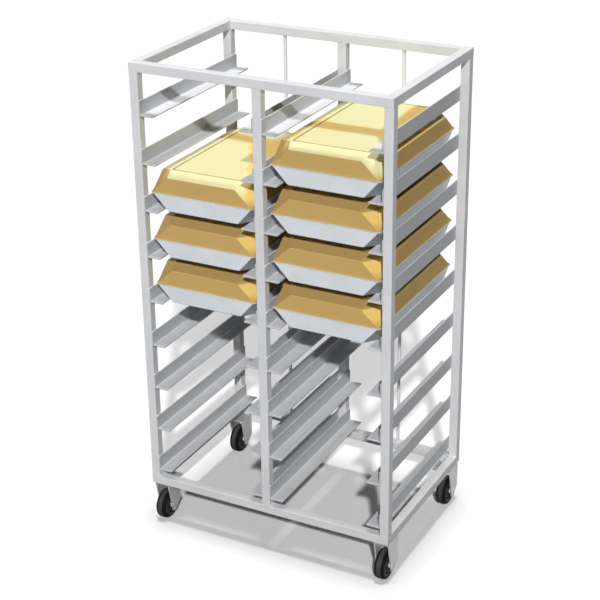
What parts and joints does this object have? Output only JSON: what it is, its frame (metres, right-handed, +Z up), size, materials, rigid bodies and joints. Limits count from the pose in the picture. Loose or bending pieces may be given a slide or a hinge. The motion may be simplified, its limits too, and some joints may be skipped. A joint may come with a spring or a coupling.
{
  "type": "tray transport trolley",
  "caption": "Tall open trolley of square tube with side-by-side bays of angle runners that carry lidded food trays, on swivel castors.",
  "frame": {"origin": "on the floor under the middle of the frame's footprint", "axes": "+Z up, -Y towards the open side that the trays are drawn out of, +X to the right of someone facing it"},
  "size_m": [0.96, 0.662, 1.765],
  "materials": {
    "frame_paint": "satin powder coat",
    "pan_aluminium": "satin",
    "lid_plastic": "fine grained",
    "castor_steel": "zinc plated",
    "wheel_plastic": "moulded",
    "bush_nylon": "moulded",
    "tyre_rubber": "matt"
  },
  "bodies": {
    "frame": {"base_rail_front": "frame_paint", "base_rail_left": "frame_paint", "base_rail_rear": "frame_paint", "base_rail_right": "frame_paint", "post_front_left": "frame_paint", "post_front_middle": "frame_paint", "post_front_right": "frame_paint", "post_rear_left": "frame_paint", "post_rear_middle": "frame_paint", "post_rear_right": "frame_paint", "runners_left_bay_left": "frame_paint", "runners_left_bay_right": "frame_paint", "runners_right_bay_left": "frame_paint", "runners_right_bay_right": "frame_paint", "stop_rod_left": "frame_paint", "stop_rod_right": "frame_paint", "top_rail_front": "frame_paint", "top_rail_left": "frame_paint", "top_rail_rear": "frame_paint", "top_rail_right": "frame_paint", "castor_plates": "castor_steel", "swivel_races": "castor_steel", "king_pins": "castor_steel"},
    "fork_front_left": {"castor_fork_front_left": "castor_steel", "castor_axle_front_left": "castor_steel", "castor_bushes_front_left": "bush_nylon"},
    "wheel_front_left": {"castor_wheel_front_left": "wheel_plastic", "castor_tyre_front_left": "tyre_rubber"},
    "fork_front_right": {"castor_fork_front_right": "castor_steel", "castor_axle_front_right": "castor_steel", "castor_bushes_front_right": "bush_nylon"},
    "wheel_front_right": {"castor_wheel_front_right": "wheel_plastic", "castor_tyre_front_right": "tyre_rubber"},
    "fork_rear_left": {"castor_fork_rear_left": "castor_steel", "castor_axle_rear_left": "castor_steel", "castor_bushes_rear_left": "bush_nylon"},
    "wheel_rear_left": {"castor_wheel_rear_left": "wheel_plastic", "castor_tyre_rear_left": "tyre_rubber"},
    "fork_rear_right": {"castor_fork_rear_right": "castor_steel", "castor_axle_rear_right": "castor_steel", "castor_bushes_rear_right": "bush_nylon"},
    "wheel_rear_right": {"castor_wheel_rear_right": "wheel_plastic", "castor_tyre_rear_right": "tyre_rubber"},
    "tray_left_3": {"pan_left_3": "pan_aluminium"},
    "cover_left_3": {"lid_left_3": "lid_plastic"},
    "tray_left_4": {"pan_left_4": "pan_aluminium"},
    "cover_left_4": {"lid_left_4": "lid_plastic"},
    "tray_left_5": {"pan_left_5": "pan_aluminium"},
    "cover_left_5": {"lid_left_5": "lid_plastic"},
    "tray_right_2": {"pan_right_2": "pan_aluminium"},
    "cover_right_2": {"lid_right_2": "lid_plastic"},
    "tray_right_3": {"pan_right_3": "pan_aluminium"},
    "cover_right_3": {"lid_right_3": "lid_plastic"},
    "tray_right_4": {"pan_right_4": "pan_aluminium"},
    "cover_right_4": {"lid_right_4": "lid_plastic"},
    "tray_right_5": {"pan_right_5": "pan_aluminium"},
    "cover_right_5": {"lid_right_5": "lid_plastic"}
  },
  "joints": [
    {"name": "swivel_front_left", "type": "hinge", "parent": "frame", "child": "fork_front_left", "pos_m": [-0.449, -0.276, 0.152], "axis": [0, 0, 1], "continuous": true},
    {"name": "roll_front_left", "type": "hinge", "parent": "fork_front_left", "child": "wheel_front_left", "pos_m": [-0.449, -0.282, 0.055], "axis": [1, 0, 0], "continuous": true},
    {"name": "swivel_front_right", "type": "hinge", "parent": "frame", "child": "fork_front_right", "pos_m": [0.449, -0.276, 0.152], "axis": [0, 0, 1], "continuous": true},
    {"name": "roll_front_right", "type": "hinge", "parent": "fork_front_right", "child": "wheel_front_right", "pos_m": [0.449, -0.282, 0.055], "axis": [1, 0, 0], "continuous": true},
    {"name": "swivel_rear_left", "type": "hinge", "parent": "frame", "child": "fork_rear_left", "pos_m": [-0.449, 0.276, 0.152], "axis": [0, 0, 1], "continuous": true},
    {"name": "roll_rear_left", "type": "hinge", "parent": "fork_rear_left", "child": "wheel_rear_left", "pos_m": [-0.449, 0.27, 0.055], "axis": [1, 0, 0], "continuous": true},
    {"name": "swivel_rear_right", "type": "hinge", "parent": "frame", "child": "fork_rear_right", "pos_m": [0.449, 0.276, 0.152], "axis": [0, 0, 1], "continuous": true},
    {"name": "roll_rear_right", "type": "hinge", "parent": "fork_rear_right", "child": "wheel_rear_right", "pos_m": [0.449, 0.27, 0.055], "axis": [1, 0, 0], "continuous": true},
    {"name": "draw_tray_left_3", "type": "slide", "parent": "frame", "child": "tray_left_3", "axis": [0, -1, 0], "range_m": [0, 0.4]},
    {"name": "lift_lid_left_3", "type": "slide", "parent": "tray_left_3", "child": "cover_left_3", "axis": [0, 0, 1], "range_m": [0, 0.018]},
    {"name": "draw_tray_left_4", "type": "slide", "parent": "frame", "child": "tray_left_4", "axis": [0, -1, 0], "range_m": [0, 0.4]},
    {"name": "lift_lid_left_4", "type": "slide", "parent": "tray_left_4", "child": "cover_left_4", "axis": [0, 0, 1], "range_m": [0, 0.018]},
    {"name": "draw_tray_left_5", "type": "slide", "parent": "frame", "child": "tray_left_5", "axis": [0, -1, 0], "range_m": [0, 0.4]},
    {"name": "lift_lid_left_5", "type": "slide", "parent": "tray_left_5", "child": "cover_left_5", "axis": [0, 0, 1], "range_m": [0, 0.018]},
    {"name": "draw_tray_right_2", "type": "slide", "parent": "frame", "child": "tray_right_2", "axis": [0, -1, 0], "range_m": [0, 0.4]},
    {"name": "lift_lid_right_2", "type": "slide", "parent": "tray_right_2", "child": "cover_right_2", "axis": [0, 0, 1], "range_m": [0, 0.018]},
    {"name": "draw_tray_right_3", "type": "slide", "parent": "frame", "child": "tray_right_3", "axis": [0, -1, 0], "range_m": [0, 0.4]},
    {"name": "lift_lid_right_3", "type": "slide", "parent": "tray_right_3", "child": "cover_right_3", "axis": [0, 0, 1], "range_m": [0, 0.018]},
    {"name": "draw_tray_right_4", "type": "slide", "parent": "frame", "child": "tray_right_4", "axis": [0, -1, 0], "range_m": [0, 0.4]},
    {"name": "lift_lid_right_4", "type": "slide", "parent": "tray_right_4", "child": "cover_right_4", "axis": [0, 0, 1], "range_m": [0, 0.018]},
    {"name": "draw_tray_right_5", "type": "slide", "parent": "frame", "child": "tray_right_5", "axis": [0, -1, 0], "range_m": [0, 0.4]},
    {"name": "lift_lid_right_5", "type": "slide", "parent": "tray_right_5", "child": "cover_right_5", "axis": [0, 0, 1], "range_m": [0, 0.018]}
  ]
}
